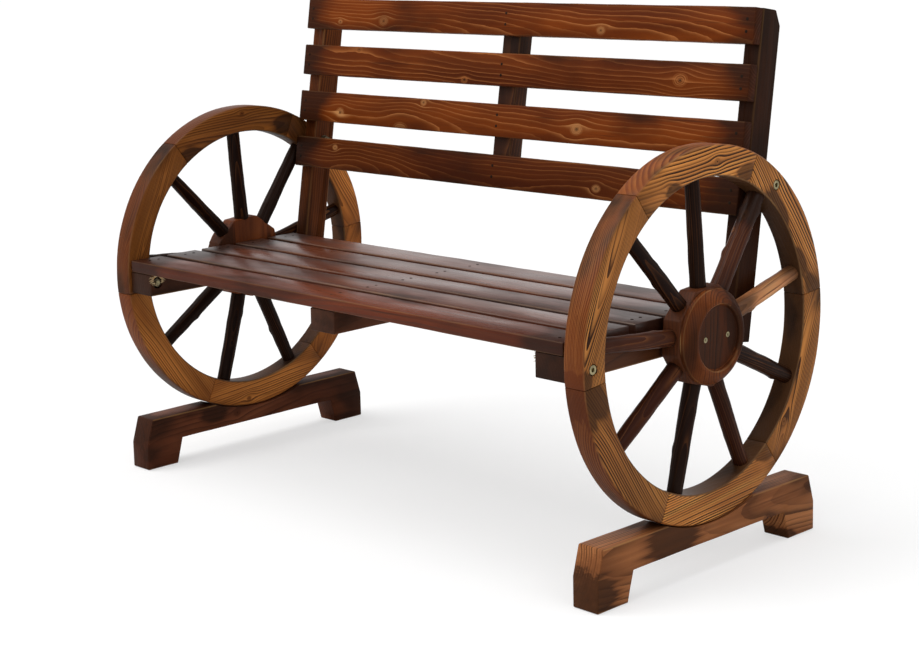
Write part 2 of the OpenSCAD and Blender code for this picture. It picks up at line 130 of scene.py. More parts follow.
class BenchTones(bpy.types.PropertyGroup):
    """Colours of the finishes, as they look in plain light."""
    back: colour_prop("Back slats", "Body of the back slats", "703310")
    back_line: colour_prop("Back grain", "Brushed late wood of the back slats", "b4703c")
    seat: colour_prop("Seat slats", "Body of the seat slats", "6b3f2b")
    seat_line: colour_prop("Seat grain", "Late wood of the seat slats", "4a2a1c")
    felloe: colour_prop("Felloes", "Body of the felloes", "c98845")
    felloe_line: colour_prop("Felloe grain", "Late wood of the felloes", "291307")
    stick: colour_prop("Sticks", "Body of the spokes", "200e07")
    hub: colour_prop("Hubs", "Body of the hub cores and caps", "7e4520")
    foot: colour_prop("Feet", "Body of the feet", "6a4029")
    frame: colour_prop("Frame", "Body of the rails, posts and battens", "4c2a16")
    char: colour_prop("Char", "Charred wood", "1e110a")
    worn: colour_prop("Worn edges", "Wood where the char is rubbed off", "b98a58")
    raw: colour_prop("Raw wood", "Freshly split wood", "d8c49a")


def sizes():
    return bpy.context.scene.bench_sizes


def tones():
    return bpy.context.scene.bench_tones


# Materials

def maths(operation):
    """A Math node's operation on the socket alone, or with a number or socket after it."""
    return lambda self, *other: self.math(operation, self, *other)


def reflected(operation):
    """The same where the number stands before the socket."""
    return lambda self, other: self.math(operation, other, self)


class Socket:
    """A number on its way through a material; arithmetic on it adds Math nodes."""

    def __init__(self, recipe, out):
        self.recipe, self.out = recipe, out

    def math(self, operation, *values):
        return self.recipe.node("ShaderNodeMath", {"operation": operation}, dict(enumerate(values)))

    __add__, __sub__, __mul__, __truediv__ = map(maths, ("ADD", "SUBTRACT", "MULTIPLY", "DIVIDE"))
    __radd__, __rsub__, __rmul__, __rtruediv__ = map(reflected, ("ADD", "SUBTRACT", "MULTIPLY", "DIVIDE"))
    __pow__, most = map(maths, ("POWER", "MAXIMUM"))
    abs, fraction, floor, root, exp = map(maths, ("ABSOLUTE", "FRACT", "FLOOR", "SQRT", "EXPONENT"))

    def clamp(self):
        return self.recipe.node("ShaderNodeClamp", {}, {"Value": self})

    def step(self, low, high):
        """0 below low, 1 above high and smooth between; low may be the larger."""
        turned = low > high
        inputs = {"Value": self, "From Min": min(low, high), "From Max": max(low, high)}
        inputs.update({"To Min": 1.0, "To Max": 0.0} if turned else {"To Min": 0.0, "To Max": 1.0})
        return self.recipe.node("ShaderNodeMapRange", {"interpolation_type": "SMOOTHSTEP"}, inputs)


class Recipe:
    """One material, or the world, written down node by node."""

    def __init__(self, owner):
        self.owner = owner
        owner.use_nodes = True
        self.tree = owner.node_tree
        self.tree.nodes.clear()

    def node(self, kind, settings, inputs, output=0):
        made = self.tree.nodes.new(kind)
        for key, value in settings.items():
            setattr(made, key, value)
        for key, value in inputs.items():
            socket = made.inputs[key]
            if isinstance(value, Socket):
                self.tree.links.new(value.out, socket)
            else:
                if socket.type == "RGBA" and len(value) == 3:
                    value = (*value, 1.0)
                socket.default_value = value
        return Socket(self, made.outputs[output])

    def axes(self, vector):
        split = self.node("ShaderNodeSeparateXYZ", {}, {0: vector})
        outputs = split.out.node.outputs
        return [Socket(self, outputs[i]) for i in range(3)]

    def vector(self, x, y, z):
        return self.node("ShaderNodeCombineXYZ", {}, {0: x, 1: y, 2: z})

    def scaled(self, vector, by):
        return self.node("ShaderNodeVectorMath", {"operation": "MULTIPLY"}, {0: vector, 1: by})

    def moved(self, vector, by):
        return self.node("ShaderNodeVectorMath", {"operation": "ADD"}, {0: vector, 1: by})

    def noise(self, vector, scale, detail=2.0, roughness=0.5):
        return self.node("ShaderNodeTexNoise", {}, {
            "Vector": vector, "Scale": scale, "Detail": detail, "Roughness": roughness})

    def mix(self, amount, first, second):
        return self.node("ShaderNodeMix", {"data_type": "RGBA"}, {0: amount, 6: first, 7: second}, output=2)

    def over(self, colour, *layers):
        """Lays colours over the first one in turn.

        Each layer is its share, which the mix clamps, and its colour.
        """
        for share, top in layers:
            colour = self.mix(share, colour, top)
        return colour

    def closed(self, shader, kind="Material"):
        """Leads the shader to the output node and gives back the finished material or world."""
        end = self.tree.nodes.new(f"ShaderNodeOutput{kind}")
        self.tree.links.new(shader.out, end.inputs["Surface"])
        return self.owner

    def finish(self, inputs):
        return self.closed(self.node("ShaderNodeBsdfPrincipled", {}, inputs))


def tinted(colour, by):
    """The colour with its red, green and blue each times a factor."""
    return tuple(min(1.0, c * k) for c, k in zip(colour, by))


def local_frame(grain, across):
    """Euler turn of a piece's own axes: X along the grain, Y across it."""
    x = Vector(grain).normalized()
    y = Vector(across).normalized()
    return Matrix((x, y, x.cross(y))).transposed().to_euler()


# how fir looks where a piece says nothing else
FIR_LOOK = dict(
    spacing=0.0065, pith=(0.25, 1.5), ripple=0.5,         # from ring to ring, and where their heart is
    line=0.75, thin=5.0, gain=1.0, tint=0.35, fibre=0.4,  # late wood's strength, how thin; redness, fibres
    knots=[], crowd=0.0, eye=0.45,                        # (x, y, size), pale rings round them, dark eye
    char=0.45, ends=0.5, edges=0.0, burns=[],             # shares of char, and burns as (x, y, size)
    ring=0, inner=0.0, outer=0.0,                         # a felloe's mean radius, char on its edges
    deep=0, worn_highlight_brim=0,                                       # radii of a cap's dark dish and of its rim, whose light ring is partly wear and partly painted highlight
    worn=0.35, cut=0.55, pale=None,                       # rubbed edges, end grain, a torn spot
    rough=0.44, patchy=0.3, coat=0.05, shine=0.07, relief=0.0005, streaks=0.35)

# noise in the wood: stretch along, across and through the grain, shift, detail, roughness
GRAIN_NOISE = {
    "stray": ((2.6, 0.6, 0.6), (0, 0, 0), 2.0, 0.5),
    "stray_too": ((2.2, 0.6, 0.6), (31.0, 7.0, 3.0), 2.0, 0.5),
    "ripple": ((14.0, 40.0, 40.0), (0, 0, 0), 3.0, 0.5),
    "fibre": ((9.0, 420.0, 420.0), (0, 0, 0), 3.0, 0.6),
    "streak": ((3.0, 95.0, 95.0), (0, 0, 0), 2.0, 0.55),
    "cloud": ((3.5, 14.0, 14.0), (0, 0, 0), 2.0, 0.5),
    "flame": ((4.5, 13.0, 13.0), (3.0, 17.0, 5.0), 3.0, 0.55)}
PITH_STEP = 0.04        # the pith's place is given in steps of this length
KNOT_PULL = 0.92        # how far the grain parts round a knot


def fir(name, body, line, seed, centre, turn, half, look):
    """Charred and brushed fir, cut from a log whose rings run through the whole piece.

    half is half the piece's size along the grain, across it and through it; look changes what FIR_LOOK says.
    """
    draw = random.Random(seed)
    lean = draw.choice((-1, 1)) * draw.uniform(0.02, 0.05)
    say = {**FIR_LOOK, "lean": lean, **look}
    tint = tones()
    r = Recipe(bpy.data.materials.new(name))
    place = r.node("ShaderNodeTexCoord", {}, {}, output=3)
    own = r.node("ShaderNodeMapping", {"vector_type": "TEXTURE"}, {
        "Vector": place, "Location": tuple(centre), "Rotation": tuple(turn)})
    x, y, z = r.axes(own)
    shifted = r.moved(own, tuple(draw.uniform(-9, 9) for _ in range(3)))
    stray, stray_too, ripple, fibre, streak, cloud, flame = (
        r.noise(r.moved(r.scaled(shifted, stretch), shift), 1.0, detail, rough)
        for stretch, shift, detail, rough in GRAIN_NOISE.values())

    # rings round a pith that strays along the log; they part round a knot
    grain_y, marks = y, ()
    for knot_x, knot_y, knot_r in say["knots"]:
        off_x, off_y = x - knot_x, y - knot_y
        wide_x, wide_y = off_x * (1 / (knot_r * 3.4)), off_y * (1 / (knot_r * 2.2))
        near = (0 - (wide_x * wide_x + wide_y * wide_y)).exp()
        grain_y = grain_y - off_y * near * KNOT_PULL
        far = (off_x * off_x * 0.6 + off_y * off_y).root() + (ripple - 0.5) * (knot_r * 0.8)
        these = (far.step(knot_r, knot_r * 0.75), far.step(knot_r * 0.4, knot_r * 0.15),
                 (far * (3.2 / knot_r)).fraction() ** 2.0 * far.step(knot_r * 1.3, knot_r), near)
        marks = [mark.most(this) for mark, this in zip(marks, these)] or these
    pith_y = draw.choice((-1, 1)) * draw.uniform(0.85, 1.15) * say["pith"][0] * PITH_STEP
    pith_z = -say["pith"][1] * draw.uniform(0.85, 1.2) * PITH_STEP
    from_y = grain_y - pith_y + (stray - 0.5) * 0.03
    from_z = z - pith_z + x * say["lean"] + (stray_too - 0.5) * 0.04
    radius = (from_y * from_y + from_z * from_z).root()
    rings = radius / say["spacing"] + ripple * say["ripple"]
    ring_tone = r.node("ShaderNodeTexWhiteNoise", {"noise_dimensions": "1D"}, {"W": rings.floor()})
    late = (rings.fraction() ** say["thin"] * (0.35 + ring_tone * 1.1) * say["gain"]).clamp()

    body_dark = tinted(body, (0.45, 0.38, 0.36))
    body_red = (body[0] * 1.12, body[1] * 0.86, body[2] * 0.72)
    crowd, drawn = 1.0, line
    if marks:
        eye, heart, year, near = marks
        crowd = 1.0 + near * say["crowd"]
        drawn = r.mix(near * say["crowd"] * 0.6, line, tint.worn)
    colour = r.over(r.mix(cloud.step(0.3, 0.62), body_dark, body),
                    (stray.step(0.35, 0.7) * say["tint"], body_red),
                    (streak.step(0.45, 0.75) * 0.35 + cloud.step(0.52, 0.75) * 0.4,
                     tinted(body, (1.6, 1.6, 1.6))),
                    (((fibre - 0.35) * 1.1).clamp() * say["fibre"], body_dark),
                    (late * say["line"] * (0.55 + 0.75 * cloud) * crowd, drawn),
                    (streak.step(0.6, 0.72) * fibre.step(0.45, 0.6) * 0.55, tint.char))
    if marks:
        colour = r.over(colour, (eye * say["eye"], tint.worn if say["crowd"] else body_dark),
                        (year * 0.85, drawn), (heart * (0.6 if say["crowd"] else 0.85), tint.char))

    # char: soft drifting patches, more at the ends and along the edges, and where a cap is dished
    coat = say["coat"]
    edge_y, edge_z = half[1] - y.abs(), half[2] - z.abs()
    if say["ring"]:
        wheel_y = y + say["ring"]
        bow = (x * x + wheel_y * wheel_y).root() - say["ring"] + half[1]
        edge_y = half[1] - (bow - half[1]).abs()
    edge = edge_y.most(0.0) + edge_z.most(0.0)
    end = half[0] - x.abs()
    low = 0.72 - say["char"] * 0.34
    reach = (flame + end.step(0.1, 0.0) * say["ends"] * 0.26 + edge.step(0.016, 0.0) * say["edges"] * 0.26
             + (streak - 0.5) * 0.12)
    if say["deep"]:
        from_axle = (y * y + x * x).root()
        dish = from_axle.step(say["deep"], say["deep"] * 0.97) * (0.62 + 0.5 * flame)
        # light rings at the dish's edge and at the cap's rim: partly wear, partly a painted highlight
        worn_highlight_lip = (from_axle - say["deep"] - 0.0022).abs().step(0.0014, 0.0004)
        worn_highlight_brim = (from_axle - say["worn_highlight_brim"]).abs().step(0.0008, 0.0002)
        worn_highlight_lip = worn_highlight_lip.most(worn_highlight_brim) * (cloud + streak + flame - 0.95).clamp()
        colour = r.over(colour, (dish, tint.char), (worn_highlight_lip * 0.5, tint.worn))
    for burn_x, burn_y, burn_r in say["burns"]:
        off_x, off_y = x - burn_x, y - burn_y
        far = (off_x * off_x * 0.3 + off_y * off_y).root() + (streak - 0.5) * (burn_r * 1.2)
        far = far + (flame - 0.5) * (burn_r * 1.8) + (fibre - 0.5) * (burn_r * 0.5)
        reach = reach + far.step(burn_r * 1.35, burn_r * 0.1) * 0.6
    char = reach.step(low, low + 0.2)
    colour = r.over(colour, (reach.step(low - 0.14, low + 0.06) * 0.62, body_dark),
                    (char * (0.6 + 0.4 * streak) * 0.9, tint.char))
    if say["ring"]:
        band = edge_y.step(0.003, 0.0012)
        side = (bow - half[1]).step(-0.002, 0.002)
        dark = band * (side * say["outer"] + (1 - side) * say["inner"]) * (0.75 + 0.5 * cloud)
        soot = r.mix(side, tinted(body, (0.11, 0.11, 0.18)), tinted(body, (0.22, 0.1, 0.06)))
        colour = r.mix(dark, colour, r.mix(flame.step(0.46, 0.66), soot, tint.char))
        coat = say["coat"] + band * side * 0.05

    # end grain, rubbed edges and a torn spot
    grain_end = end.step(0.0022, 0.0006)
    rub = edge.step(0.0034, 0.0006) * (1 - grain_end) * (cloud + streak - 0.55).clamp()
    colour = r.over(colour, (grain_end * say["cut"] * (1.0 - char * 0.85), r.mix(late, tint.char, body_dark)),
                    (rub * say["worn"] * 1.7, tint.worn))
    if say["pale"]:
        at_x, at_y, at_z, size = say["pale"]
        off = r.vector((x - at_x) * 0.6, y - at_y, (z - at_z) * 1.5)
        far = r.node("ShaderNodeVectorMath", {"operation": "LENGTH"}, {0: off}, output=1)
        torn = (far + (flame - 0.5) * 0.012 + (streak - 0.5) * 0.01).step(size, size * 0.75)
        colour = r.mix(torn, colour, r.mix(fibre.step(0.35, 0.65), tint.worn, tint.raw))

    height = late * 0.6 + fibre * say["streaks"] + streak * 0.35 - char * 0.25
    bump = r.node("ShaderNodeBump", {}, {"Strength": 0.5, "Distance": say["relief"], "Height": height})
    rough = (say["rough"] + (flame - 0.5) * say["patchy"] + char * 0.1 + (fibre - 0.5) * 0.12).clamp()
    return r.finish({"Base Color": colour, "Roughness": rough, "Normal": bump, "Coat Weight": coat,
                     "Coat Roughness": 0.3, "Specular IOR Level": say["shine"]})


def metal(name, body, rough, scratch):
    """Plated steel with dulled patches and fine scratches."""
    r = Recipe(bpy.data.materials.new(name))
    place = r.node("ShaderNodeTexCoord", {}, {}, output=3)
    dull = r.noise(place, 140.0, 4.0, 0.6)
    fine = r.noise(r.scaled(place, (2600.0, 700.0, 700.0)), 1.0, 2.0)
    colour = r.mix(dull.step(0.35, 0.7), body, tuple(c * 0.55 for c in body))
    height = fine * scratch + dull * 0.5
    bump = r.node("ShaderNodeBump", {}, {"Strength": 0.4, "Distance": 0.0001, "Height": height})
    return r.finish({"Base Color": colour, "Metallic": 1.0, "Roughness": (rough + (dull - 0.5) * 0.3).clamp(),
                     "Normal": bump})


# Modelling aids

def only(*pieces):
    """Leaves edit mode and selects these pieces and nothing else."""
    if bpy.context.object and bpy.context.object.mode != "OBJECT":
        bpy.ops.object.mode_set(mode="OBJECT")
    bpy.ops.object.select_all(action="DESELECT")
    for piece in pieces:
        piece.select_set(True)
    if pieces:
        bpy.context.view_layer.objects.active = pieces[0]


def pick(piece, kind, test):
    """Enters edit mode with the vertices, edges or faces selected for which the test holds."""
    only(piece)
    bpy.ops.object.mode_set(mode="EDIT")
    bpy.ops.mesh.select_mode(type=kind)
    bpy.ops.mesh.select_all(action="DESELECT")
    shape = bmesh.from_edit_mesh(piece.data)
    found = 0
    for item in {"VERT": shape.verts, "EDGE": shape.edges, "FACE": shape.faces}[kind]:
        if test(item):
            item.select_set(True)
            found += 1
    shape.select_flush_mode()
    bmesh.update_edit_mesh(piece.data)
    return found


def settle():
    """Puts the selected piece's place, turn and scale into its mesh."""
    bpy.ops.object.transform_apply(location=True, rotation=True, scale=True)


def named(name):
    """The active new object, under its name, with its place in its mesh."""
    piece = bpy.context.object
    piece.name = name
    piece.data.name = name
    settle()
    return piece


def primitive(kind, name, place, turn=(0, 0, 0), stretch=(1, 1, 1), **more):
    """Adds one of the mesh primitives at its size and place."""
    only()
    getattr(bpy.ops.mesh, f"primitive_{kind}_add")(location=place, rotation=turn, **more)
    bpy.context.object.scale = stretch
    return named(name)


def middle(edge):
    return (edge.verts[0].co + edge.verts[1].co) / 2


def run(edge):
    """How far the edge runs across the bench."""
    return abs(edge.verts[0].co.x - edge.verts[1].co.x)


def on_face(edge, *faces):
    """Whether the edge's middle lies on one of these faces, given by their X."""
    return min(abs(middle(edge).x - x) for x in faces) < FACE_SLACK


def every(item):
    return True


def sharp(edge, angle=0.9):
    return len(edge.link_faces) == 2 and edge.calc_face_angle(0.0) > angle


def sharp_low(edge):
    return sharp(edge, 0.5)


def bevel(piece, width, test, segments=3):
    if pick(piece, "EDGE", test):
        bpy.ops.mesh.bevel(offset=width, segments=segments, profile=0.5, affect="EDGES", clamp_overlap=True)
    only(piece)


def cross_cuts(piece, low, high, count, axis=0):
    """Cuts sections across the piece at even steps, so that its faces can be made uneven."""
    normal = Vector((0, 0, 0))
    normal[axis] = 1
    for i in range(1, count):
        place = Vector((0, 0, 0))
        place[axis] = low + (high - low) * i / count
        pick(piece, "FACE", every)
        bpy.ops.mesh.bisect(plane_co=place, plane_no=normal)
    only(piece)


def uneven(piece, depth, grain, name, direction="NORMAL", level=1.0):
    """Lets the surface sink in by up to depth, in patches of the given size."""
    texture = bpy.data.textures.new(name, "CLOUDS")
    texture.noise_scale = grain
    texture.noise_depth = 1
    only(piece)
    change = piece.modifiers.new("Uneven", "DISPLACE")
    change.texture = texture
    change.texture_coords = "GLOBAL"
    change.strength = depth
    change.mid_level = level
    change.direction = direction
    bpy.ops.object.modifier_apply(modifier=change.name)
    bpy.data.textures.remove(texture)


def smooth(piece, angle=35):
    only(piece)
    bpy.ops.object.shade_smooth_by_angle(angle=math.radians(angle))


def outward(piece):
    pick(piece, "FACE", every)
    bpy.ops.mesh.normals_make_consistent(inside=False)
    only(piece)


def board(name, centre, size, turn=(0, 0, 0)):
    """A board with eased edges and slightly uneven faces; its grain runs along its own X."""
    piece = primitive("cube", name, centre, turn, size, size=1)
    longest = max(size)
    pick(piece, "EDGE", lambda edge: edge.calc_length() > longest * 0.99)
    bpy.ops.mesh.subdivide(number_cuts=max(3, int(sizes().board_cuts * longest)))
    bevel(piece, sizes().ease, sharp)
    uneven(piece, sizes().waviness, 0.05, name)
    smooth(piece)
    return piece


def node_copy(node, name):
    """A mesh of its own, like the frame's piece, with its loose triangles joined to flat faces."""
    piece = bpy.data.objects.new(name, frame["nodes"][node].data.copy())
    piece.data.name = name
    piece.data.materials.clear()
    bpy.context.scene.collection.objects.link(piece)
    pick(piece, "VERT", every)
    bpy.ops.mesh.remove_doubles(threshold=0.00002)
    bpy.ops.mesh.select_all(action="SELECT")
    bpy.ops.mesh.dissolve_limited(angle_limit=math.radians(0.5))
    only(piece)
    return piece


def eased(node, width, test):
    """A copy of the frame's piece, with the edges eased for which the test holds."""
    piece = node_copy(node, node + "_dressed")
    bevel(piece, width, test)
    return piece


def placed(piece, name, matrix):
    """A copy of a finished piece with a mesh of its own, put in its place."""
    copy = piece.copy()
    copy.data = piece.data.copy()
    copy.name = copy.data.name = name
    bpy.context.scene.collection.objects.link(copy)
    only(copy)
    copy.matrix_world = matrix
    settle()
    return copy


def joined(name, pieces):
    only(*pieces)
    if len(pieces) > 1:
        bpy.ops.object.join()
    pieces[0].name = pieces[0].data.name = name
    return pieces[0]


def cut(piece, cutters):
    """Takes the cutters out of the piece and removes them."""
    for cutter in cutters:
        only(piece)
        change = piece.modifiers.new("Cut", "BOOLEAN")
        change.operation = "DIFFERENCE"
        change.solver = "EXACT"
        change.object = cutter
        bpy.ops.object.modifier_apply(modifier=change.name)
        bpy.data.objects.remove(cutter)


def seat_piece(piece, material, slot, *nodes):
    """Gives a finished piece its material and its body, and hides the frame's pieces that it stands for."""
    piece.data.materials.clear()
    piece.data.materials.append(material)
    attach(piece, "root")
    if nodes:
        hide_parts(*nodes)


def dress(piece, node, slot, seed, body, line, centre, turn, half, look):
    """Gives a wooden piece its own cut of fir, and seats it for the frame's piece of that name."""
    seat_piece(piece, fir(node + "_fir", body, line, seed, centre, turn, half, look), slot, node)


def wheel_turn(angle, side=1):
    """Turns about the axle by the angle from the wheel's back upward, and for side -1 moves across."""
    axle = Vector((0, 0, WHEEL_Z))
    shift = Vector((0 if side == 1 else -2 * RIM_MID, 0, 0))
    return Matrix.Translation(axle + shift) @ Matrix.Rotation(angle, 4, "X") @ Matrix.Translation(-axle)


def wheel_point(side, angle, radius, x=RIM_MID):
    return Vector((SIDES[side] * x, radius * math.cos(angle), WHEEL_Z + radius * math.sin(angle)))


def back_point(x, behind, up):
    """Point of the leaning back: x along it, behind its face and up from its top edge."""
    return Vector((x, BACK_Y + behind * math.cos(LEAN) + up * math.sin(LEAN),
                   BACK_TOP - behind * math.sin(LEAN) + up * math.cos(LEAN)))


def slat_middle(i):
    """How far the middle of a back slat is up from the top edge of the back."""
    return -(i - 1) * BACK_PITCH - BACK_SLAT / 2


# Pieces

class BENCH_OT_felloes(bpy.types.Operator):
    """Spin one felloe, copy it round both rims and sink the bolt holes"""
    bl_idname = "bench.felloes"
    bl_label = "Felloes"

    plain = dict(spacing=0.0036, pith=(1.4, 0.9), line=1.1, thin=2.0, gain=2.0, char=0.25, ends=0.7,
                 edges=0.25, worn=0.7, ring=RIM_MEAN, tint=0.3, outer=0.75, inner=1.15, shine=0.06, eye=0.8,
                 relief=0.0009)
    # knots and burns: degrees from the felloe's middle, how far out from its centre line, size
    looks = {
        ("right", 1): dict(pith=(0.9, 1.0), char=0.22, shade=0.95,
                           burns=[(12, -0.019, 0.017), (5, -0.022, 0.014), (-16, -0.021, 0.016),
                                  (-28, 0.0, 0.014)]),
        ("right", 2): dict(spacing=0.0052, pith=(1.9, 0.8), lean=0.12, char=0.1, shade=1.25,
                           burns=[(-27, -0.01, 0.012), (14, -0.018, 0.011)],
                           knots=[(-10, -0.002, 0.0045), (16, -0.01, 0.004)]),
        ("right", 3): dict(pith=(0.05, 0.6), lean=0.03, spacing=0.0024, char=0.12, burns=[(29, 0.02, 0.012)]),
        ("right", 4): dict(pith=(1.0, 0.8), lean=-0.1, char=0.1, burns=[(-28, 0.016, 0.03)], shade=0.75),
        ("right", 5): dict(pith=(1.6, 0.8), lean=0.08, char=0.08, burns=[(28, -0.012, 0.014)], shade=1.5),
        ("right", 6): dict(pith=(0.5, 0.8), knots=[(-18, -0.01, 0.006)], char=0.2, spacing=0.003),
        ("left", 1): dict(pith=(0.8, 1.0), burns=[(26, 0.0, 0.02)], shade=1.05),
        ("left", 2): dict(pith=(0.7, 0.9), knots=[(-4, 0.01, 0.004)], spacing=0.004, char=0.15, shade=0.56,
                          burns=[(-28, 0.0, 0.018), (26, -0.014, 0.014)]),
        ("left", 3): dict(pith=(0.3, 0.7), lean=0.03, spacing=0.0024, char=0.15, shade=0.58),
        ("left", 4): dict(shade=0.85, pith=(1.4, 1.0), char=0.2),
        ("left", 5): dict(knots=[(-10, 0.01, 0.005)], shade=0.95),
        ("left", 6): dict(pith=(0.7, 0.8), shade=1.2)}
    far_wheel = dict(line=0.8, gain=1.4)
    far_fade = (1.0, 0.86, 0.72)
    mitre_ease, sink_share = 0.0009, 0.8      # bevel of the joints, and how wavy the faces are beside boards

    def along_rim(self, spots):
        """Turns the angle from a felloe's middle and the distance from its centre line into its X and Y."""
        for angle, out, size in spots:
            turn = math.radians(angle)
            yield (RIM_MEAN + out) * math.sin(turn), (RIM_MEAN + out) * math.cos(turn) - RIM_MEAN, size

    def blank(self):
        piece = primitive("plane", "felloe_blank", (RIM_MID, RIM_MEAN, WHEEL_Z), stretch=(RIM_T, RIM_H, 1),
                          size=1)
        pick(piece, "VERT", every)
        bpy.ops.mesh.bevel(offset=sizes().rim_ease, segments=3, affect="VERTICES")
        bpy.ops.mesh.select_all(action="SELECT")
        bpy.ops.mesh.spin(steps=sizes().spin_steps, angle=FELLOE_SPAN, center=(RIM_MID, 0, WHEEL_Z),
                          axis=(1, 0, 0))
        only(piece)
        outward(piece)
        if min(v.co.z for v in piece.data.vertices) < WHEEL_Z - 0.01:
            piece.data.transform(wheel_turn(FELLOE_SPAN))
        return piece

    def shape(self, blank, side, i, start):
        name = f"{side}_felloe_{i}_dressed"
        piece = placed(blank, name, wheel_turn(start, SIDES[side]))
        if i in BOLT_ANGLES:
            place = wheel_point(side, BOLT_ANGLES[i], BOLT_R, RIM_OUT)
            cut(piece, [primitive("cylinder", "bolt_counterbore", place, ALONG_X, vertices=40,
                                  radius=SINK_R, depth=2 * SINK_DEEP)])
        ends = [Vector((0, math.cos(a), math.sin(a))) for a in (start, start + FELLOE_SPAN)]

        def mitre(edge):
            out = middle(edge) - Vector((0, 0, WHEEL_Z))
            return sharp(edge, 1.2) and any(abs(out.cross(end).x) < 0.0005 for end in ends)

        bevel(piece, self.mitre_ease, mitre, 2)
        uneven(piece, sizes().waviness * self.sink_share, 0.06, name)
        smooth(piece)
        return piece

    def execute(self, context):
        blank = self.blank()
        for side, i in ((side, i) for side in SIDES for i in range(1, FELLOES + 1)):
            start = FIRST_JOINT + (i - 1) * FELLOE_SPAN
            piece = self.shape(blank, side, i, start)
            mid = start + FELLOE_SPAN / 2
            turn = local_frame((0, -math.sin(mid), math.cos(mid)), (0, math.cos(mid), math.sin(mid)))
            far = side == "left"
            look = {**self.plain, **self.looks[side, i], **(self.far_wheel if far else {})}
            for kind in ("knots", "burns"):
                look[kind] = list(self.along_rim(look.get(kind, [])))
            shade = look.pop("shade", 1.0)
            body = tinted(tones().felloe, [shade * k for k in (self.far_fade if far else (1, 1, 1))])
            dress(piece, f"{side}_felloe_{i}", "felloe_wood", f"{side}{i}felloe", body, tones().felloe_line,
                  wheel_point(side, mid, RIM_MEAN), turn, FELLOE_HALF, look)
        bpy.data.objects.remove(blank)
        return {"FINISHED"}


class BENCH_OT_spokes(bpy.types.Operator):
    """Model one rustic stick and copy it round both wheels, each with its own lumps and knots"""
    bl_idname = "bench.spokes"
    bl_label = "Spokes"

    hub_end_r, rim_end_r, end_ease = 0.0132, 0.0118, 0.0016
    stick_cuts = 34
    lump_deep, lump_size = 0.0013, 0.03
    bend_size = 0.13
    knot_reach, knot_tip = 0.011, 0.0025      # how far a knot swells round itself, and what rises in full

    # sticks of the near wheel that differ, by number
    thickness = {1: 0.88, 2: 0.9, 8: 0.98, 9: 1.06}
    ruddy = {3: 0.4, 4: 0.45, 6: 0.5, 9: 0.5}       # share of char on the redder sticks
    pale, gnarled = 8, 9
    plain = dict(spacing=0.003, pith=(1.2, 0.6), line=0.3, char=0.5, ends=0.4, worn=0.0, tint=0.5, coat=0.045,
                 rough=0.36, shine=0.035, relief=0.0008, streaks=0.6)
    pale_look = dict(char=0.25, line=1.0, thin=2.0, gain=1.6, spacing=0.0022, ends=1.2, coat=0.15)
    gnarled_look = dict(knots=[(0.035, 0.004, 0.005), (0.058, -0.005, 0.004), (0.01, -0.006, 0.004)],
                        burns=[(0.06, 0.0, 0.02)], coat=0.1)

    def blank(self):
        inner, outer = CORE_FLAT - TUCK, WHEEL_R - RIM_H + TUCK
        place = (RIM_MID, (inner + outer) / 2, WHEEL_Z)
        piece = primitive("cone", "stick_blank", place, (-math.pi / 2, 0, 0), vertices=28,
                          radius1=self.hub_end_r, radius2=self.rim_end_r, depth=outer - inner)
        pick(piece, "EDGE", lambda edge: edge.calc_length() > 0.1)
        bpy.ops.mesh.subdivide(number_cuts=self.stick_cuts)
        bevel(piece, self.end_ease, sharp, 2)
        return piece

    def knot(self, piece, foot, out, height):
        """Raises a small knot where the line from the stick's axis at foot leaves the stick."""
        nearest = min(piece.data.vertices, key=lambda v: (v.co - foot - out * 0.012).length).co.copy()
        pick(piece, "VERT", lambda vertex: (vertex.co - nearest).length < self.knot_tip)
        bpy.ops.transform.translate(value=out * height, use_proportional_edit=True,
                                    proportional_edit_falloff="SMOOTH", proportional_size=self.knot_reach)
        only(piece)

    def shape(self, blank, side, near, angle, name):
        """One stick; near is its number on the near wheel, and 0 on the far one."""
        way, draw = SIDES[side], random.Random(name)
        thick = self.thickness.get(near, draw.uniform(0.9, 1.03))
        hub = Vector((RIM_MID, 0, WHEEL_Z))
        swell = Matrix.Translation(hub) @ Matrix.Diagonal((thick, 1, thick, 1)) @ Matrix.Translation(-hub)
        piece = placed(blank, name, wheel_turn(angle, way) @ swell)
        along = Vector((0, math.cos(angle), math.sin(angle)))
        for _ in range(9 if near == self.gnarled else draw.choice((1, 2, 2))):
            around = draw.uniform(0, math.tau)
            rise = math.sin(around)
            out = Vector((math.cos(around), -math.sin(angle) * rise, math.cos(angle) * rise))
            self.knot(piece, Vector((way * RIM_MID, 0, WHEEL_Z)) + along * draw.uniform(0.1, 0.2), out,
                      draw.uniform(0.0008, 0.0028 if near == self.gnarled else 0.0019))
        uneven(piece, self.lump_deep, self.lump_size, name + "lumps", level=0.6)
        uneven(piece, sizes().wander, self.bend_size, name + "bend", "X", 0.5)
        smooth(piece, 50)
        return piece, along

    def execute(self, context):
        blank, t = self.blank(), tones()
        for side, i in ((side, i) for side in SIDES for i in range(1, SPOKES + 1)):
            near = i if side == "right" else 0
            angle = FIRST_SPOKE + (i - 1) * SPOKE_SPAN
            name = f"{side}_spoke_{i}_dressed"
            piece, along = self.shape(blank, side, near, angle, name)
            body, line, look = t.stick, t.back_line, dict(self.plain)
            if near in self.ruddy:
                body = tinted(t.stick, (3.4, 3.4, 3.4))
                look["char"] = self.ruddy[near]
            if near == self.gnarled:
                look.update(self.gnarled_look)
            if near == self.pale:
                body, line = tinted(t.worn, (1.9, 1.7, 1.9)), t.felloe_line
                look.update(self.pale_look)
            dress(piece, f"{side}_spoke_{i}", "spoke_wood", name, body, line,
                  wheel_point(side, angle, SPOKE_MID), local_frame(along, (1, 0, 0)), SPOKE_HALF, look)
        bpy.data.objects.remove(blank)
        return {"FINISHED"}


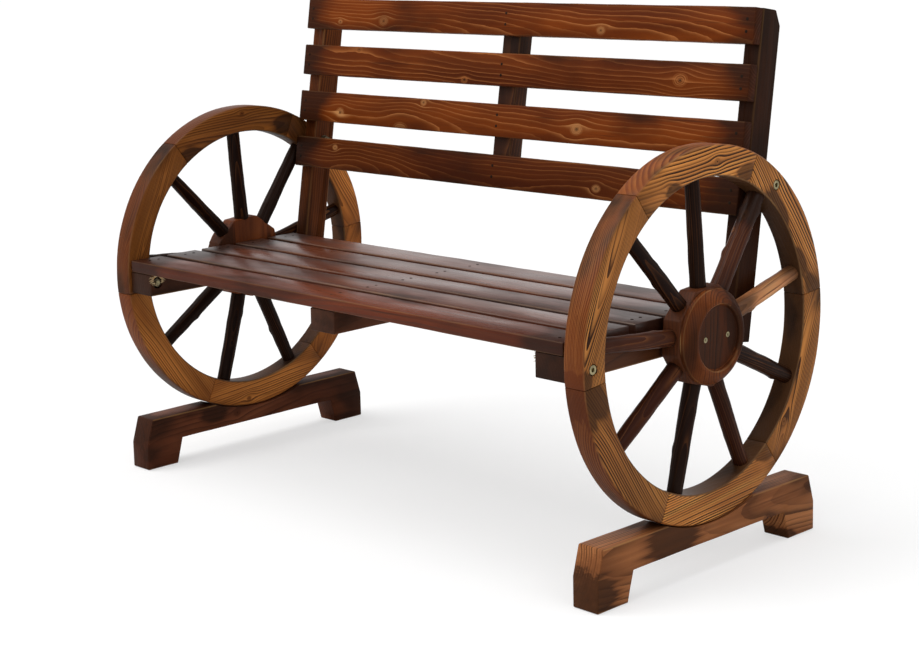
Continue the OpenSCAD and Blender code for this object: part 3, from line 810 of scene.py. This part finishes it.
class BENCH_OT_hubs(bpy.types.Operator):
    """Cut the nine-sided cores and turn the dished caps"""
    bl_idname = "bench.hubs"
    bl_label = "Hubs"

    plain = dict(spacing=0.005, pith=(0.4, 1.4), line=0.8, ends=0.2, worn=0.5, thin=3.0, fibre=0.5)
    cap_look = dict(spacing=0.0035, line=1.0, shine=0.03, deep=0.0455, worn_highlight_brim=0.0674)
    looks = {
        ("right", "core"): dict(body=(1.5, 1.45, 1.5), char=0.5,
                                burns=[(0.06, -0.045, 0.05), (0.07, 0.02, 0.04), (-0.06, -0.045, 0.05)]),
        ("left", "core"): dict(body=(1.3, 1.25, 1.25), char=0.4,
                               burns=[(0.02, -0.07, 0.04), (-0.02, 0.05, 0.03)]),
        ("right", "cap"): dict(cap_look, body=(0.78, 0.74, 0.72), char=0.7, burns=[(0.03, 0.05, 0.03)]),
        ("left", "cap"): dict(cap_look, body=(1.0, 1.0, 1.0), char=0.62)}
    core_ease = 0.0022
    # shares of the cap's slope and rise that its two steps take, and after them steps inward and forward for
    # the flat brow, its inner edge, the wall of the dish and its floor
    slope_steps = ((0.45, 0.53), (0.55, 0.47))
    dish_steps = ((0.005, 0), (0.003, -0.003), (0.0006, -0.004), (0.012, 0), (0.016, 0))
    dish_low, dish_high = 0.045, 0.0495       # radii between which the edges of the dish lie
    side_ease, brow_ease, dish_ease = 0.0015, 0.0016, 0.0008
    ring_slack = 0.001                        # how near an edge is to the ring that it lies on

    def core(self):
        piece = primitive("cylinder", "core_blank", ((CORE[0].x + CORE[1].x) / 2, 0, WHEEL_Z), ALONG_X,
                          vertices=SPOKES, radius=CORE_R, depth=CORE[1].x - CORE[0].x)
        corner = max(piece.data.vertices, key=lambda v: v.co.x + v.co.z).co
        now = math.atan2(corner.z - WHEEL_Z, corner.y)
        only(piece)
        piece.matrix_world = wheel_turn(FIRST_SPOKE - SPOKE_SPAN / 2 - now)
        settle()
        bevel(piece, self.core_ease, sharp_low)
        return piece

    def cap(self):
        radius = (CAP[1].y - CAP[0].y) / 2
        slope, rise = radius - CAP_BROW, CAP[1].x - CAP[0].x - CAP_SIDE
        piece = primitive("cylinder", "cap_blank", (CAP[0].x + CAP_SIDE / 2, 0, WHEEL_Z), ALONG_X,
                          vertices=96, radius=radius, depth=CAP_SIDE)
        pick(piece, "FACE", lambda face: face.normal.x > 0.9)
        for inward, forward in (*((slope * a, rise * b) for a, b in self.slope_steps), *self.dish_steps):
            bpy.ops.mesh.inset(thickness=inward, depth=forward)
        slack = self.ring_slack
        for low, high, width in ((radius - slack, radius + slack, self.side_ease),
                                 (CAP_BROW - slack, CAP_BROW + slack, self.brow_ease),
                                 (self.dish_low, self.dish_high, self.dish_ease)):
            bevel(piece, width, lambda edge: low < math.hypot(middle(edge).y, middle(edge).z - WHEEL_Z) < high
                  and sharp(edge, 0.4) and middle(edge).x > CAP[0].x + slack and run(edge) < 0.0001)
        return piece

    def execute(self, context):
        parts = (("core", self.core(), CORE, CORE_HALF), ("cap", self.cap(), CAP, CAP_HALF))
        for side, way in SIDES.items():
            for part, blank, box, half in parts:
                node = f"{side}_hub_{part}"
                name = node + "_dressed"
                across = box[0].x + box[1].x
                if part == "core":
                    matrix = Matrix.Translation((0 if way == 1 else -across, 0, 0))
                else:
                    matrix = Matrix.Rotation(0 if way == 1 else math.pi, 4, "Z")
                piece = placed(blank, name, matrix)
                uneven(piece, 0.0005, 0.03, name)
                smooth(piece)
                look = {**self.plain, **self.looks[side, part]}
                body = tinted(tones().hub, look.pop("body"))
                dress(piece, node, "hub_wood", name, body, tones().felloe_line,
                      Vector((way * across / 2, 0, WHEEL_Z)), local_frame((0, 0, 1), (0, 1, 0)), half, look)
        for part, blank, box, half in parts:
            bpy.data.objects.remove(blank)
        return {"FINISHED"}


class BENCH_OT_feet(bpy.types.Operator):
    """Ease the edges of the arched feet and make their faces uneven"""
    bl_idname = "bench.feet"
    bl_label = "Feet"

    plain = dict(spacing=0.0042, pith=(0.6, 1.6), line=0.8, thin=2.0, gain=1.4, edges=0.3, worn=1.0,
                 streaks=0.6, shine=0.05, coat=0.03, fibre=0.5, relief=0.0008, cut=0.8)
    looks = {
        "right": dict(body=(2.55, 2.8, 2.3), char=0.22, ends=0.5, tint=0.12, knots=[(0.13, 0.0, 0.007)],
                      burns=[(-0.085, 0.02, 0.04), (-0.262, -0.022, 0.034), (0.18, -0.04, 0.012)]),
        "left": dict(body=(1.25, 1.1, 1.05), char=0.38, ends=0.7, tint=0.3,
                     knots=[(0.13, 0.0, 0.008), (-0.05, 0.02, 0.006)],
                     burns=[(-0.25, 0.03, 0.02), (-0.1, 0.03, 0.02)])}

    def execute(self, context):
        for side in SIDES:
            node = f"{side}_foot"
            low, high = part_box(node)
            piece = eased(node, 0.0024, lambda edge: sharp_low(edge) and (
                on_face(edge, low.x, high.x) or (run(edge) > 0.03 and abs(middle(edge).y) > 0.2)))
            cross_cuts(piece, low.y, high.y, 22, axis=1)
            uneven(piece, sizes().waviness, 0.06, node)
            outward(piece)
            smooth(piece, 30)
            look = {**self.plain, **self.looks[side]}
            dress(piece, node, "foot_wood", node, tinted(tones().foot, look.pop("body")), tones().felloe_line,
                  (low + high) / 2, local_frame((0, 1, 0), (0, 0, 1)), FOOT_HALF, look)
        return {"FINISHED"}


class BENCH_OT_seat_frame(bpy.types.Operator):
    """Shape the seat rails, with the torn wood round the nut pockets"""
    bl_idname = "bench.seat_frame"
    bl_label = "Seat rails"

    side_look = dict(spacing=0.005, pith=(0.6, 1.4), line=0.5, char=0.55, ends=0.5, edges=0.3, worn=0.4)
    torn_look = dict(char=0.0, ends=0.0, worn=0.0, coat=0.0, rough=0.7, line=0.4)
    # the torn wood's middle stands this far above the axle, which is 6 mm above the middle of the nut pocket
    torn_up = 0.003
    torn_back = BOLT_R * 0.99993
    pale_r = 0.0065
    slivers_each, sliver_from, sliver_spread = 22, 0.0098, 0.0022
    oval = (1.2, 0.85)                        # how much longer and lower than a circle the slivers' ring is

    def splinters(self, side, way, spot):
        """Pale slivers that stand round the mouth of the nut pocket."""
        draw = random.Random(side + "slivers")
        slivers = []
        for i in range(self.slivers_each):
            length = draw.uniform(0.004, 0.010)
            angle = draw.uniform(0, math.tau)
            far = self.sliver_from + draw.uniform(0, self.sliver_spread)
            y = spot.y + math.cos(angle) * far * self.oval[0]
            z = spot.z + math.sin(angle) * far * self.oval[1]
            lie = draw.uniform(-0.5, 0.5) + (math.pi / 2 if math.cos(angle) < 0 else -math.pi / 2)
            slivers.append(primitive("cone", f"{side}_sliver_{i}", (spot.x - way * 0.0003, y, z),
                                     (lie, draw.uniform(-0.15, 0.15), 0), (0.5, 1, 1), vertices=5,
                                     radius1=draw.uniform(0.0006, 0.0013), radius2=0.0001, depth=length))
        piece = joined(f"{side}_pocket_splinters", slivers)
        outward(piece)
        return piece

    def execute(self, context):
        lengthways = local_frame((0, 1, 0), (0, 0, 1))
        t = tones()
        for side, way in SIDES.items():
            node = f"{side}_seat_rail"
            low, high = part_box(node)
            piece = eased(node, 0.002, lambda edge: sharp(edge) and edge.calc_length() > 0.02 and (
                on_face(edge, low.x, high.x) or abs(middle(edge).y - low.y) < FACE_SLACK))
            smooth(piece, 30)
            centre = (low + high) / 2
            spot = Vector((low.x if way == 1 else high.x, -self.torn_back, WHEEL_Z + self.torn_up))
            off = spot - centre
            pale = {"pale": (off.y, off.z, off.x, self.pale_r)} if side == "left" else {}
            dress(piece, node, "frame_wood", node, t.frame, t.felloe_line, centre, lengthways,
                  ((high.y - low.y) / 2, RAIL_H / 2, RAIL_W / 2), {**self.side_look, **pale})
            torn = self.splinters(side, way, spot)
            seat_piece(torn, fir(torn.name + "_fir", t.raw, t.worn, torn.name, spot, (0, 0, 0),
                                 (0.02, 0.02, 0.02), self.torn_look), "frame_wood")
        low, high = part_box("middle_seat_rail")
        centre, half = (low + high) / 2, (high - low) / 2
        piece = board("middle_seat_rail_dressed", centre, high - low)
        dress(piece, "middle_seat_rail", "frame_wood", "middle rail", t.foot, t.felloe_line, centre,
              lengthways, (half.y, half.z, half.x), dict(char=0.35, worn=0.3, line=0.5))
        return {"FINISHED"}


class BENCH_OT_back_frame(bpy.types.Operator):
    """Shape the leaning posts and the middle batten"""
    bl_idname = "bench.back_frame"
    bl_label = "Posts and batten"

    plain = dict(spacing=0.004, pith=(0.9, 0.8), thin=2.0, gain=1.6, ends=0.4, edges=0.2,
                 shine=0.035, coat=0.03)
    looks = {"left": dict(line=0.85, char=0.52, worn=0.3), "right": dict(line=0.45, char=0.6, worn=0.1)}

    def execute(self, context):
        turn = local_frame((0, math.sin(LEAN), math.cos(LEAN)), (1, 0, 0))
        t = tones()
        bodies = {"left": t.hub, "right": tinted(t.frame, (0.6, 0.6, 0.6))}
        for side, way in SIDES.items():
            node = f"{side}_back_post"
            low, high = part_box(node)
            piece = eased(node, 0.002, lambda edge: sharp(edge, 0.3) and edge.calc_length() > 0.012 and (
                on_face(edge, low.x, high.x) or run(edge) > 0.02))
            smooth(piece, 30)
            dress(piece, node, "frame_wood", node, bodies[side], t.felloe_line,
                  back_point(way * POST_X, BACK_T + POST_HALF[2], -POST_HALF[0]), turn, POST_HALF,
                  {**self.plain, **self.looks[side]})
        height = 4 * BACK_PITCH - BACK_GAP - 2 * BATTEN_SHORT
        centre = back_point(0, BACK_T + BATTEN_T / 2, -BATTEN_SHORT - height / 2)
        piece = board("middle_batten_dressed", centre, (BATTEN_W, BATTEN_T, height), (-LEAN, 0, 0))
        dress(piece, "middle_batten", "frame_wood", "batten", t.frame, t.back_line, centre, turn,
              (height / 2, BATTEN_W / 2, BATTEN_T / 2), dict(char=0.6, worn=0.3, line=0.5))
        return {"FINISHED"}


class BENCH_OT_slats(bpy.types.Operator):
    """Cut the slats of the seat and of the back"""
    bl_idname = "bench.slats"
    bl_label = "Slats"

    # knots: along the slat from its middle, up from its centre line, size
    seat_knots = {
        1: [(-0.2, 0.01, 0.006)], 2: [(0.28, 0.0, 0.006)], 3: [(-0.1, 0.012, 0.005), (0.36, -0.01, 0.006)],
        4: [(0.1, 0.008, 0.006)], 5: [(-0.3, 0.0, 0.006)]}
    back_knots = {
        1: [(-0.395, -0.013, 0.004), (-0.285, -0.01, 0.008), (0.2, -0.014, 0.006)],
        2: [(-0.34, 0.022, 0.006), (-0.08, -0.02, 0.005), (0.36, -0.002, 0.009)],
        3: [(-0.375, -0.008, 0.007), (-0.17, 0.02, 0.005), (-0.22, -0.03, 0.012), (0.17, -0.004, 0.008)],
        4: [(-0.38, 0.012, 0.005), (0.22, -0.01, 0.006)]}
    back_shade = {1: 1.0, 2: 0.76, 3: 0.86, 4: 0.5}
    seat_look = dict(spacing=0.0055, pith=(0.9, 1.2), line=0.85, thin=3.0, char=0.55, ends=1.8, edges=0.3,
                     worn=0.3, tint=0.4, coat=0.42, rough=0.36, shine=0.22, patchy=0.9)
    front_gloss = dict(coat=0.12, shine=0.07)
    front_tint, seat_tint = (1.0, 0.64, 0.38), (0.84, 0.62, 0.46)
    back_look = dict(spacing=0.0046, pith=(0.75, 1.0), thin=7.0, char=0.34, ends=1.5, edges=0.4, worn=0.2,
                     tint=0.3, ripple=0.9, crowd=0.9, eye=0.2, fibre=0.5, shine=0.035, coat=0.03,
                     relief=0.0008)

    def execute(self, context):
        t = tones()
        for i, knots in self.seat_knots.items():
            node = f"seat_slat_{i}"
            low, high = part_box(node)
            centre = (low + high) / 2
            front = i == 1
            body = tinted(t.seat, self.front_tint if front else self.seat_tint)
            look = dict(self.seat_look, knots=knots, **(self.front_gloss if front else {}))
            dress(board(node + "_dressed", centre, high - low), node, "seat_wood", node, body, t.seat_line,
                  centre, (0, 0, 0), tuple((high - low) / 2), look)
        turn = local_frame((1, 0, 0), (0, math.sin(LEAN), math.cos(LEAN)))
        for i, knots in self.back_knots.items():
            node = f"back_slat_{i}"
            low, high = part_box(node)
            centre = back_point(0, BACK_T / 2, slat_middle(i))
            shade = self.back_shade[i]
            look = dict(self.back_look, knots=knots, line=0.8 * shade)
            if i == 2:
                look.update(crowd=0.0, eye=0.45)
            length = high.x - low.x
            piece = board(node + "_dressed", centre, (length, BACK_T, BACK_SLAT), (-LEAN, 0, 0))
            body = tinted(t.back, (shade * 1.05, shade * 1.05, shade * 0.6))
            dress(piece, node, "back_wood", node, body, t.back_line, centre, turn,
                  (length / 2, BACK_SLAT / 2, BACK_T / 2), look)
        return {"FINISHED"}


class BENCH_OT_fasteners(bpy.types.Operator):
    """Make the nail heads and the cross-recessed screw heads, and plate the bolts"""
    bl_idname = "bench.fasteners"
    bl_label = "Fasteners"

    nail_off, nail_sunk = 0.009, 0.0004
    cap_screw_off, foot_screw_off = 0.025, 0.035
    rail_screw_z, rail_screw_off = 0.330, 0.008
    arch_z = 0.043
    nail_r, nail_t, nail_ease = 0.0024, 0.0014, 0.0005
    cap_screw_d, rail_screw_d, foot_screw_d = 0.008, 0.010, 0.012

    def nail_head(self):
        piece = primitive("cylinder", "nail_blank", (0, 0, -0.0004), vertices=14, radius=self.nail_r,
                          depth=self.nail_t)
        bevel(piece, self.nail_ease, lambda edge: sharp(edge) and middle(edge).z > 0, 2)
        smooth(piece, 40)
        return piece

    def screw_head(self):
        """A countersunk head of 1 m, scaled to size when placed, with a cross recess."""
        piece = primitive("cone", "screw_blank", (0, 0, -0.125), vertices=32, radius1=0.25, radius2=0.5,
                          depth=0.25)
        bevel(piece, 0.03, lambda edge: sharp(edge, 0.4) and middle(edge).z > -0.01, 2)
        cut(piece, [primitive("cube", "recess", (0, 0, 0), stretch=size, size=1)
                    for size in ((0.56, 0.11, 0.3), (0.11, 0.56, 0.3))])
        smooth(piece, 30)
        return piece

    def set_at(self, blank, place, along, size=1.0, turn=0.0):
        along = Vector(along).normalized()
        matrix = (Matrix.Translation(place) @ along.to_track_quat("Z", "Y").to_matrix().to_4x4()
                  @ Matrix.Rotation(turn, 4, "Z") @ Matrix.Scale(size, 4))
        return placed(blank, "head", matrix)

    def nails(self, nail, dull):
        def seat_spot(i, x, off):
            low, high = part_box(f"seat_slat_{i}")
            return x, (low.y + high.y) / 2 + off, SEAT_TOP - self.nail_sunk

        def back_spot(i, x, off):
            return back_point(x, self.nail_sunk, slat_middle(i) + off)

        for part, slats, far, spot, out in (
                ("seat", 5, RAIL_X, seat_spot, (0, 0, 1)),
                ("back", 4, POST_X, back_spot, (0, -math.cos(LEAN), math.sin(LEAN)))):
            heads = [self.set_at(nail, spot(i, x, off), out) for i in range(1, slats + 1)
                     for x in (-far, 0, far) for off in (-self.nail_off, self.nail_off)]
            seat_piece(joined(f"{part}_nail_heads", heads), dull, "nail_steel", f"{part}_nails")

    def screws(self, screw, zinc):
        heads = {"hub_cap": [], "rail": [], "foot": []}
        draw = random.Random("screws")
        for side, way in SIDES.items():
            for m in (-1, 1):
                z = self.rail_screw_z + m * self.rail_screw_off
                y = BACK_Y + (BACK_T + POST_HALF[2]) / math.cos(LEAN) - (BACK_TOP - z) * math.tan(LEAN)
                for kind, place, along, size in (
                        ("hub_cap", (way * (CAP[1].x - CAP_DISH + 0.0003), m * self.cap_screw_off, WHEEL_Z),
                         (way, 0, 0), self.cap_screw_d),
                        ("rail", (way * (RIM_IN - RAIL_W), y, z), (-way, 0, 0), self.rail_screw_d),
                        ("foot", (way * RIM_MID, m * self.foot_screw_off, self.arch_z), (0, 0, -1),
                         self.foot_screw_d)):
                    heads[kind].append(self.set_at(screw, place, along, size, draw.uniform(0, 1.5)))
        for kind, made in heads.items():
            seat_piece(joined(f"{kind}_screw_heads", made), zinc, "zinc_steel", f"{kind}_screws")

    def finish_node(self, node, material):
        piece = frame["nodes"][node]
        if not piece.material_slots:
            raise RuntimeError(f"{node} has no material slot")
        for slot in piece.material_slots:
            slot.material = material

    def execute(self, context):
        zinc = metal("zinc_plate", tone("a79c78"), 0.36, 0.3)
        dull = metal("dull_steel", tone("2e231c"), 0.7, 0.5)
        nail, screw = self.nail_head(), self.screw_head()
        self.nails(nail, dull)
        self.screws(screw, zinc)
        for blank in (nail, screw):
            bpy.data.objects.remove(blank)
        self.finish_node("wheel_bolts", zinc)
        sooty = metal("sooty_zinc", tone("6e6450"), 0.5, 0.5)
        for node in ("bolt_washers", "bolt_nuts"):
            self.finish_node(node, sooty)
        dowel = fir("dowel_beech", tone("c79a62"), tone("a87a48"), "dowels", (0, 0, 0), (0, 0, 0), (1, 1, 1),
                    dict(char=0.0, ends=0.0, worn=0.0, line=0.3, coat=0.0, rough=0.6))
        self.finish_node("felloe_dowels", dowel)
        return {"FINISHED"}


class BENCH_OT_stage(bpy.types.Operator):
    """Lay the pale floor, hang the soft lights and set the camera"""
    bl_idname = "bench.stage"
    bl_label = "Stage"

    def light(self, kind, name, place, aim, power, **more):
        bpy.ops.object.light_add(type=kind, location=place)
        lamp = bpy.context.object
        lamp.name = name
        for key, value in dict(more, energy=power).items():
            setattr(lamp.data, key, value)
        lamp.rotation_euler = (Vector(aim) - Vector(place)).to_track_quat("-Z", "Y").to_euler()
        lamp.visible_camera = kind != "AREA"

    def floor(self):
        floor = primitive("plane", "studio_floor", (0, 0, -0.0005), (0, 0, 0), (80, 80, 1), size=1)
        r = Recipe(bpy.data.materials.new("floor_paint"))
        seen = r.node("ShaderNodeLightPath", {}, {}, output="Is Camera Ray")
        paint = r.node("ShaderNodeBsdfDiffuse", {}, {"Color": (0.75, 0.75, 0.75)})
        bright = r.node("ShaderNodeMixShader", {}, {
            0: 0.55, 1: r.node("ShaderNodeBsdfDiffuse", {}, {"Color": (0.98, 0.98, 0.98)}),
            2: r.node("ShaderNodeEmission", {}, {"Color": (1.0, 1.0, 1.0), "Strength": 1.0})})
        paint = r.node("ShaderNodeMixShader", {}, {0: seen, 1: paint, 2: bright})
        floor.data.materials.append(r.closed(paint))

    def sky(self, scene):
        """A plain white world, brighter where gloss and the camera see it."""
        r = Recipe(bpy.data.worlds.new("studio_light"))
        white = (1.0, 1.0, 1.0)
        light = r.node("ShaderNodeBackground", {}, {"Color": white, "Strength": 0.36})
        for ray, strength in (("Is Glossy Ray", 0.8), ("Is Camera Ray", 1.0)):
            seen = r.node("ShaderNodeLightPath", {}, {}, output=ray)
            shown = r.node("ShaderNodeBackground", {}, {"Color": white, "Strength": strength})
            light = r.node("ShaderNodeMixShader", {}, {0: seen, 1: light, 2: shown})
        scene.world = r.closed(light, "World")

    def camera(self, scene):
        """The camera fitted to the photograph; pixels are counted from the picture's top left corner."""
        camera = bpy.data.objects.new("photo_camera", bpy.data.cameras.new("photo_camera"))
        scene.collection.objects.link(camera)
        stand = (2.12767, -2.12530, 0.93095)
        yaw, pitch, roll = 0.839560, 0.148920, -0.029800
        ahead = Vector((-math.sin(yaw) * math.cos(pitch), math.cos(yaw) * math.cos(pitch), -math.sin(pitch)))
        right = ahead.cross(Vector((0, 0, 1))).normalized()
        above = right.cross(ahead)
        side = right * math.cos(roll) + above * math.sin(roll)
        up = above * math.cos(roll) - right * math.sin(roll)
        camera.matrix_world = Matrix.Translation(stand) @ Matrix((side, up, -ahead)).transposed().to_4x4()
        wide, high, focal, sensor = 919, 669, 1925.43, 36
        middle_x, middle_y = 341.08, 203.90
        camera.data.sensor_width = sensor
        camera.data.lens = focal * sensor / wide
        camera.data.shift_x = (wide / 2 - middle_x) / wide
        camera.data.shift_y = (middle_y - high / 2) / wide
        camera.data.clip_end = 100
        scene.camera = camera

    def execute(self, context):
        scene = context.scene
        self.floor()
        self.sky(scene)
        for name, place, power in (("high_sun", (-0.9, -1.5, 4.0), 1.9), ("rear_sun", (1.0, 2.0, 3.0), 0.6)):
            self.light("SUN", name, place, (0, 0, 0), power, angle=math.radians(50))
        wide_lamp = dict(shape="RECTANGLE", size=2.4, size_y=2.4)
        for name, place, power, colour in (("key_light", (-2.2, -3.4, 3.0), 50, (1.0, 0.985, 0.96)),
                                           ("right_fill", (3.6, -0.8, 2.0), 28, (1, 1, 1))):
            self.light("AREA", name, place, (0, 0, 0.35), power, color=colour, **wide_lamp)
        self.camera(scene)
        scene.view_settings.view_transform = "Standard"
        return {"FINISHED"}


class BENCH_PT_panel(bpy.types.Panel):
    """Lists the sizes, the colours and the pieces"""
    bl_idname = "BENCH_PT_panel"
    bl_label = "Wagon wheel bench"
    bl_space_type = "VIEW_3D"
    bl_region_type = "UI"
    bl_category = "Bench"

    def draw(self, context):
        for group in (context.scene.bench_sizes, context.scene.bench_tones):
            for name in group.__annotations__:
                self.layout.prop(group, name)
        for operator in OPERATORS:
            self.layout.operator(operator.bl_idname)


OPERATORS = (BENCH_OT_stage, BENCH_OT_felloes, BENCH_OT_spokes, BENCH_OT_hubs, BENCH_OT_feet,
             BENCH_OT_seat_frame, BENCH_OT_back_frame, BENCH_OT_slats, BENCH_OT_fasteners)
CLASSES = (BenchSizes, BenchTones) + OPERATORS + (BENCH_PT_panel,)


def register():
    for cls in CLASSES:
        bpy.utils.register_class(cls)
    bpy.types.Scene.bench_sizes = PointerProperty(type=BenchSizes)
    bpy.types.Scene.bench_tones = PointerProperty(type=BenchTones)


def unregister():
    del bpy.types.Scene.bench_tones
    del bpy.types.Scene.bench_sizes
    for cls in reversed(CLASSES):
        bpy.utils.unregister_class(cls)


def main():
    """Builds every piece."""
    register()
    for operator in OPERATORS:
        group, name = operator.bl_idname.split(".")
        getattr(getattr(bpy.ops, group), name)()


if __name__ == "__main__":
    main()
